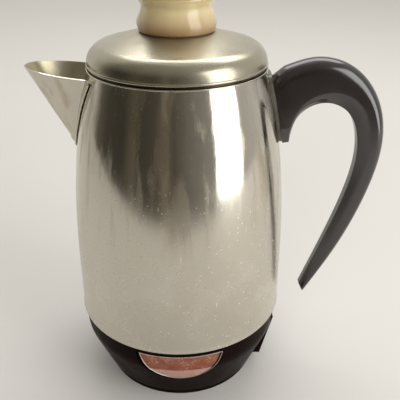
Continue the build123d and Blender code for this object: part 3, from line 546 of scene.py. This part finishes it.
def grid(rows, loop=False, caps=False):
    """Mesh from rows of points in millimetres, each row joined to the next."""
    mesh = bmesh.new()
    made = [[mesh.verts.new([value * MM for value in point]) for point in row] for row in rows]
    for low, high in zip(made, made[1:]):
        count = len(low)
        for step in range(count if loop else count - 1):
            after = (step + 1) % count
            mesh.faces.new((low[step], low[after], high[after], high[step]))
    if caps:
        mesh.faces.new(made[0])
        mesh.faces.new(made[-1])
    return mesh


def new_object(name, mesh):
    """Object from a mesh, shaded round except over its sharp edges."""
    bmesh.ops.remove_doubles(mesh, verts=mesh.verts, dist=0.001 * MM)
    bmesh.ops.recalc_face_normals(mesh, faces=mesh.faces)
    data = bpy.data.meshes.new(name)
    mesh.to_mesh(data)
    mesh.free()
    data.shade_smooth()
    data.set_sharp_from_angle(angle=radians(SHARP))
    piece = bpy.data.objects.new(name, data)
    bpy.context.scene.collection.objects.link(piece)
    return piece


def settle(piece):
    """Makes a piece's modifiers part of its mesh."""
    evaluated = piece.evaluated_get(bpy.context.evaluated_depsgraph_get())
    shaped = bpy.data.meshes.new_from_object(evaluated)
    piece.modifiers.clear()
    piece.data = shaped
    shaped.shade_smooth()
    shaped.set_sharp_from_angle(angle=radians(SHARP))


def add_rod(mesh, radius, length, middle, segments):
    """Adds a round rod along X to a mesh, by the place of its middle."""
    rod = bmesh.ops.create_cone(
        mesh,
        cap_ends=True,
        segments=segments,
        radius1=radius * MM,
        radius2=radius * MM,
        depth=length * MM,
    )
    for corner in rod["verts"]:
        turned_over = (corner.co.z, corner.co.y, corner.co.x)
        corner.co = [place + shift * MM for place, shift in zip(turned_over, middle)]


def cut(piece, tool):
    """Cuts a tool out of a piece and removes the tool."""
    modifier = piece.modifiers.new("cut", "BOOLEAN")
    modifier.operation = "DIFFERENCE"
    modifier.object = tool
    modifier.solver = "EXACT"
    settle(piece)
    bpy.data.objects.remove(tool)


def dress(piece, slot, body, *nodes):
    """Gives a piece its finish, the body that it rides on and the CAD nodes that it stands for."""
    piece.data.materials.clear()
    piece.data.materials.append(finishes[slot])
    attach(piece, body)
    if nodes:
        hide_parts(*nodes)
    return piece


# Pot: drawn wall with a rolled rim and hem, flat floor and the heater well
wall_heights = spread(pot_low + hem_depth, rim_top - 2 * rim_roll, 110)
outside = [(wall_radius(height), height) for height in wall_heights]
inside_heights = spread(rim_height, floor_top + floor_corner, 90)
inside = [(wall_radius(height) - sheet, height) for height in inside_heights]
rim = arc((rim_place, rim_top - rim_roll), rim_roll, -70, 190, 14)
pot_profile = (
    [(belly_radius - hem_tuck, pot_low), (belly_radius + hem_edge, pot_low + hem_edge)]
    + [(belly_radius + hem_proud, pot_low + hem_depth / 2)]
    + outside
    + rim
    + inside
    + arc((inside[-1][0] - floor_corner, floor_top + floor_corner), floor_corner, 0, -90, 6)
    + [(well_radius + well_corner, floor_top)]
    + arc((well_radius + well_corner, floor_top - well_corner), well_corner, 90, 180, 5)
    + [(well_radius, well_low + sheet), (0, well_low + sheet), (0, well_low)]
    + [(well_radius + sheet, well_low), (well_radius + sheet, pot_low)]
)
pot = new_object("pot", turned(pot_profile))
strainer = bmesh.new()
for row in range(strainer_rows):
    for place in range(row + 1):
        across = (place - row / 2) * strainer_pitch
        hole = (-strainer_place, across, strainer_low + row * strainer_pitch)
        add_rod(strainer, strainer_radius, strainer_length, hole, 24)
cut(pot, new_object("strainer_tool", strainer))
dress(pot, "polished_steel", "pot", "pot_body", "pot_floor")

# Spout: pressed sheet, an oblique cone that bends into a flange on the pot's wall
lip_tilt = atan2(spout_tip_rise, spout_reach)
lip_length = hypot(spout_reach, spout_tip_rise)
point_place = wall_radius(point_height) + point_stand


def cone_point(turn, level):
    """Point of the spout's cone, by its angle from the tip and its level from the lip downwards."""
    reach = lip_length * cos(turn)
    lip = (
        -wall_radius(lip_height) - reach * cos(lip_tilt),
        spout_half_width * sin(turn),
        lip_height + reach * sin(lip_tilt),
    )
    point = (-point_place - point_radius * cos(turn), point_radius * sin(turn), point_height)
    return [high + (low - high) * level for high, low in zip(lip, point)]


def to_wall(point):
    """Angle of a point from the spout's middle, its distance off the pot wall and its height."""
    return [atan2(point[1], -point[0]), hypot(point[0], point[1]) - wall_radius(point[2]), point[2]]


def from_wall(turn, off, height):
    """Point at an angle, a distance off the pot wall and a height."""
    radius = wall_radius(height) + off
    return (-radius * cos(turn), radius * sin(turn), height)


def spout_half(level):
    """Half a row of the spout at a level, from its middle over the bend to the flange's edge."""
    near, far = (radians(turn) for turn in seat_search)
    for _ in range(seat_halvings):
        middle = (near + far) / 2
        if to_wall(cone_point(middle, level))[1] > flange_seat:
            near = middle
        else:
            far = middle
    fine = np.array([cone_point(turn, level) for turn in spread(0, near, 240)])
    run = np.concatenate([[0], np.cumsum(np.linalg.norm(np.diff(fine, axis=0), axis=1))])
    bend = min(flange_bend, flange_bend_most * run[-1])
    places = run[-1] * np.array(spread(0, 1, 30)) * (1 - bend / run[-1])
    side = [[float(np.interp(place, run, fine[:, axis])) for axis in range(3)] for place in places]
    corner_turn, _, corner_height = to_wall(fine[-1])
    radius = wall_radius(corner_height)
    below_lip = min(flange_corner, max(0.0, lip_height - corner_height))
    narrow = flange_corner - sqrt(flange_corner**2 - (flange_corner - below_lip) ** 2)
    start = Vector(side[-1])
    corner = Vector(fine[-1])
    end = Vector(from_wall(corner_turn + bend / radius, flange_seat, corner_height))
    turned_in = [
        start * (1 - t) ** 2 + corner * 2 * t * (1 - t) + end * t**2 for t in spread(0, 1, 8)[1:]
    ]
    flange = [
        from_wall(
            corner_turn + (bend + (flange_width - narrow - bend) * t) / radius,
            flange_seat + flange_lift * t**2 * below_lip / flange_corner,
            corner_height,
        )
        for t in spread(0, 1, 5)[1:]
    ]
    return [to_wall(point) for point in side + turned_in + flange]


def spout_row(half, width=1.0, height=1.0, drop=0.0):
    """Whole row of the spout from its half, narrowed, flattened to the wall and lowered."""
    right = [
        from_wall(turn * width, flange_seat + (off - flange_seat) * height, level - drop)
        for turn, off, level in half
    ]
    return [(x, -y, z) for x, y, z in right[:0:-1]] + right


spout_rows = [spout_row(spout_half(level)) for level in spread(0, 1, spout_steps)]
lowest = spout_half(1)
for share in spread(0, 1, nose_steps)[1:]:
    narrow = max(nose_least, sqrt(1 - share**2))
    flat = sqrt(max(0.0, 1 - (share / nose_share) ** 2))
    spout_rows.append(spout_row(lowest, narrow, flat, nose_drop * share))
spout = new_object("spout", grid(spout_rows))
pressed = spout.modifiers.new("sheet", "SOLIDIFY")
pressed.thickness = sheet * MM
pressed.offset = 0
edge = spout.modifiers.new("edge", "BEVEL")
edge.width = spout_edge * MM
edge.segments = 3
edge.limit_method = "ANGLE"
edge.angle_limit = radians(50)
settle(spout)
dress(spout, "polished_steel", "pot", "spout")
spout.data.materials[0] = polished_steel("coffee_stained_steel", inside=True)

# Badge: copper plate with a raised bright border and a pale band across its lower end
side_corners = [
    (toe_radius, foot_height), (base_radius, shoulder_height), (base_radius, base_height),
]
side_line = rounded(side_corners, [shoulder_round], 40)
moon_radius = (badge_half_chord**2 + badge_depth**2) / (2 * badge_depth)
moon_middle = badge_top - badge_depth + moon_radius


def on_base(across, height, proud):
    """Point on the front of the base, standing proud of its side."""
    radii, heights = zip(*side_line)
    radius = float(np.interp(height, heights, radii)) + proud
    turn = asin(across / radius) + radians(badge_turn)
    return (radius * sin(turn), -radius * cos(turn), height)


def moon_half(height, inset):
    """Half width of the badge at a height, inside a margin."""
    return sqrt(max(0.0, (moon_radius - inset) ** 2 - (height - moon_middle) ** 2))


def badge_plate(low, high, inset, proud):
    """Plate that fills the badge between two heights, inside a margin."""
    rows = []
    for share in spread(0, 1, 28):
        height = low + (high - low) * share**2
        half = moon_half(height, inset)
        across = [half * place for place in spread(-1, 1, 48)]
        front = [on_base(x, height, proud) for x in across]
        back = [on_base(x, height, badge_back) for x in across[::-1]]
        rows.append(front + back)
    return grid(rows, loop=True, caps=True)


def moon_outline(inset, proud):
    """Closed outline of the badge, inside a margin."""
    radius = moon_radius - inset
    top = badge_top - inset
    corner = degrees(atan2(top - moon_middle, moon_half(top, inset)))
    curve = arc((0, moon_middle), radius, corner, -180 - corner, 80)
    straight = [(x, top) for x in spread(curve[-1][0], curve[0][0], 40)[1:-1]]
    return [on_base(x, z, proud) for x, z in curve + straight]


moon_low = moon_middle - moon_radius
band_top = moon_low + badge_band
margin = badge_border / 2
badge_field = new_object(
    "badge_field", badge_plate(band_top, badge_top - margin, margin, field_proud)
)
dress(badge_field, "badge_metal", "pot", "badge")
badge_strip = new_object(
    "badge_band", badge_plate(moon_low + margin, band_top, margin, band_proud)
)
dress(badge_strip, "badge_metal", "pot")
badge_strip.data.materials[0] = copper_plate("pale_copper_plate", "#DBA896", "#F0DBD0")
border_rows = [moon_outline(inset * badge_border / ridge_width, proud) for inset, proud in ridge]
badge_edge = new_object("badge_border", grid(border_rows, loop=True))
dress(badge_edge, "bright_aluminium", "pot")

# Handle: moulded horn with softened edges, trimmed to the bracket and recessed for its screw
handle_reach = wall_radius(handle_top) + bracket_thickness


def handle_section(outer, inner, width):
    """Outline of the handle across two points of its side, flat inside and round outside."""
    across = hypot(outer[0] - inner[0], outer[1] - inner[1])
    toward = ((outer[0] - inner[0]) / across, (outer[1] - inner[1]) / across)
    share = width / handle_width
    side = width / 2
    crown = across - min(across * handle_crown, side)
    bevel = handle_bevel * share
    corners = [(0, 0), (0, side - handle_bevel_in * share), (bevel, side), (crown, side)]
    side_round = min(handle_round * share, handle_round_most * (crown - bevel))
    half = rounded(corners, [handle_soft * share, side_round], 8)
    for turn in spread(0, pi / 2, 12)[1:]:
        half.append((crown + (across - crown) * sin(turn), side * cos(turn)))
    return [
        (handle_reach + inner[0] + deep * toward[0], wide, handle_top + inner[1] + deep * toward[1])
        for deep, wide in half + [(deep, -wide) for deep, wide in half[-2:0:-1]]
    ]


handle_rows = [handle_section(root_outer, root_inner, handle_width)]
for step, (outer, inner) in enumerate(
    zip(smooth_line(handle_outer, handle_steps), smooth_line(handle_inner, handle_steps))
):
    narrowing = (1 - handle_tip_share) * (step / handle_steps) ** handle_taper
    handle_rows.append(handle_section(outer, inner, handle_width * (1 - narrowing)))
handle = new_object("handle_horn", grid(handle_rows, loop=True, caps=True))
fit_line = [
    (wall_radius(height) + bracket_thickness + fit_gap, height)
    for height in spread(fit_low, fit_high, 60)
]
fit_profile = [(0, fit_low)] + fit_line + [(0, fit_high)]
cut(handle, new_object("fit_tool", turned(fit_profile, loop=False)))
recess = bmesh.new()
recess_middle = wall_radius(screw_height) + bracket_thickness + screw_grip + recess_length / 2
add_rod(recess, screw_recess, recess_length, (recess_middle, 0, screw_height), 32)
cut(handle, new_object("recess_tool", recess))
dress(handle, "black_phenolic", "pot", "handle")

# Lid: spun cover with a rolled lower edge
lid_slope = lid_crown_rise / (lid_radius - lid_seat_radius)


def lid_line(inset, drop):
    """Lid profile from above its rolled edge over the shoulder to the hole, moved inwards."""
    return rounded(
        [
            (lid_radius - inset, cover_low + lid_side_low),
            (lid_radius - inset, seat_height - lid_crown_rise + lid_slope * inset - drop),
            (lid_seat_radius, seat_height - drop),
            (lid_hole_radius, seat_height - drop),
        ],
        [lid_shoulder - inset, lid_shoulder],
        28,
    )


lid_profile = (
    lid_line(0, 0)
    + lid_line(lid_sheet, lid_drop)[::-1]
    + arc((lid_radius - lid_bead / 2, cover_low + lid_bead), lid_bead, *lid_bead_turns, 22)[1:-1]
)
lid = new_object("lid", turned(lid_profile))
dress(lid, "satin_steel", "lid", "lid_cover")

# Floor, light and camera
floor_across = (-1500, 1500)  # millimetres
floor_along = (-600, 2400)
floor_middle = (0, 0.85, 0)   # metres; the paper is round and ends a little behind the camera
floor_radius = 1.34
floor_fade = 0.1
floor_patch = 0.4
floor_finish = new_material("pale_paper")
floor_place = add(floor_finish, "TexCoord", "Object")
floor_patches = {"Vector": floor_place, "Scale": 1 / floor_patch, "Detail": 3.0}
floor_cloud = add(floor_finish, "TexNoise", "Fac", floor_patches)
floor_tones = {FACTOR: floor_cloud, FIRST: linear("#DEDBD6"), SECOND: linear("#D8D5D0")}
both_places = {0: floor_place, 1: floor_middle}
from_middle = add(floor_finish, "VectorMath", "Value", both_places, operation="DISTANCE")
floor_edge = {"Value": from_middle, "From Min": floor_radius}
floor_edge |= {"From Max": floor_radius - floor_fade}
close_material(
    floor_finish,
    {
        "Base Color": add(floor_finish, "Mix", MIXED, floor_tones, data_type="RGBA"),
        "Roughness": 0.9,
        "Alpha": add(floor_finish, "MapRange", "Result", floor_edge),
    },
)
floor = new_object("floor", grid([[(x, y, 0) for x in floor_across] for y in floor_along]))
floor.data.materials.append(floor_finish)

# Reflector screen on the camera's side, so that the steel shows dark and light bands.
# Each stop is a direction in degrees from the front, above zero to the right, and its tone.
room_tone = "#E9E7E2"
room_strength = 0.92
screen_side = 118          # degrees to each side of the front
screen_low = -35           # degrees from level
screen_high = 84
screen_radius = 1800
screen_tones = [
    (-screen_side, room_tone), (-108, "#C9C6BE"), (-98, "#6A665D"), (-84, "#4A473F"),
    (-60, "#44413A"), (-46, "#6E675A"), (-40, "#4A463E"), (-20, "#57524A"), (-12, "#8F8677"),
    (-4, "#5A544A"), (10, "#75695C"), (20, "#B0A491"), (30, "#80776A"), (42, "#C9C2B4"),
    (60, "#D6D2C8"), (84, "#B9B5AB"), (96, "#8D897F"), (110, "#D8D5CD"),
    (screen_side, room_tone),
]
screen_finish = new_material("painted_screen")
screen_place = add(screen_finish, "TexCoord", "Object")
turned_front = {"Vector": screen_place, "Rotation": (0, 0, radians(90))}
from_front = add(screen_finish, "Mapping", "Vector", turned_front)
around = add(screen_finish, "TexGradient", "Fac", {"Vector": from_front}, gradient_type="RADIAL")
bands = add(screen_finish, "ValToRGB", "Color", {"Fac": around})
stops = bands.node.color_ramp.elements
for stop, (direction, code) in enumerate(screen_tones):
    element = stops[stop] if stop < 2 else stops.new(0.5)
    element.position = 0.5 + direction / 360
    element.color = linear(code)
screen_rise = add(screen_finish, "SeparateXYZ", "Z", {"Vector": screen_place})
fade = {"Value": screen_rise, "From Min": 0.75, "From Max": screen_radius * MM, "To Max": 0.42}
to_top = add(screen_finish, "MapRange", "Result", fade)
faded = {FACTOR: to_top, FIRST: bands, SECOND: linear(room_tone)}
screen_tone = add(screen_finish, "Mix", MIXED, faded, data_type="RGBA")
screen_light = {"Color": screen_tone, "Strength": room_strength}
screen_glow = add(screen_finish, "Emission", "Emission", screen_light)
add(screen_finish, "OutputMaterial", None, {"Surface": screen_glow})
screen_turns = [radians(turn) for turn in spread(-screen_side, screen_side, 96)]
screen_rows = []
for level in spread(screen_low, screen_high, 24):
    reach = screen_radius * cos(radians(level))
    height = screen_radius * sin(radians(level))
    screen_rows.append([(reach * sin(turn), -reach * cos(turn), height) for turn in screen_turns])
screen = new_object("reflector_screen", grid(screen_rows))
screen.data.materials.append(screen_finish)
screen.visible_camera = False

world = bpy.data.worlds.new("pale_room")
bpy.context.scene.world = world
world.use_nodes = True
world.node_tree.nodes.clear()
room_light = {"Color": linear(room_tone), "Strength": room_strength}
glow = add(world, "Background", "Background", room_light)
add(world, "OutputWorld", None, {"Surface": glow})
pot_middle = (0, 0, 0.14)


def soft_box(name, place, width, height, power):
    """Rectangular studio light that faces the pot's middle, in metres and watts."""
    lamp = bpy.data.lights.new(name, "AREA")
    lamp.shape = "RECTANGLE"
    lamp.size = width
    lamp.size_y = height
    lamp.energy = power
    box = bpy.data.objects.new(name, lamp)
    box.location = place
    toward = Vector(pot_middle) - Vector(place)
    box.rotation_euler = toward.to_track_quat("-Z", "Y").to_euler()
    bpy.context.scene.collection.objects.link(box)
    return box


soft_box("window_box", (0.95, -0.62, 0.45), width=0.7, height=1.3, power=9.5)
soft_box("top_box", (0.16, 0.72, 1.3), width=1.5, height=0.65, power=8.5)
fill_box = soft_box("fill_box", (-0.25, -1.25, 0.75), width=0.9, height=0.7, power=6.0)
fill_box.visible_glossy = False

camera_drop = 27.483       # degrees that it looks down
camera_roll = 0.174
lens = bpy.data.cameras.new("camera")
lens.sensor_width = 36
lens.lens = 51.3
lens.clip_start = 0.01
camera = bpy.data.objects.new("camera", lens)
camera.location = (0.01377, -0.34006, 0.29967)
camera.rotation_mode = "ZYX"
camera.rotation_euler = (radians(90 - camera_drop), 0, radians(camera_roll))
bpy.context.scene.collection.objects.link(camera)
bpy.context.scene.camera = camera
bpy.context.scene.view_settings.view_transform = "Standard"
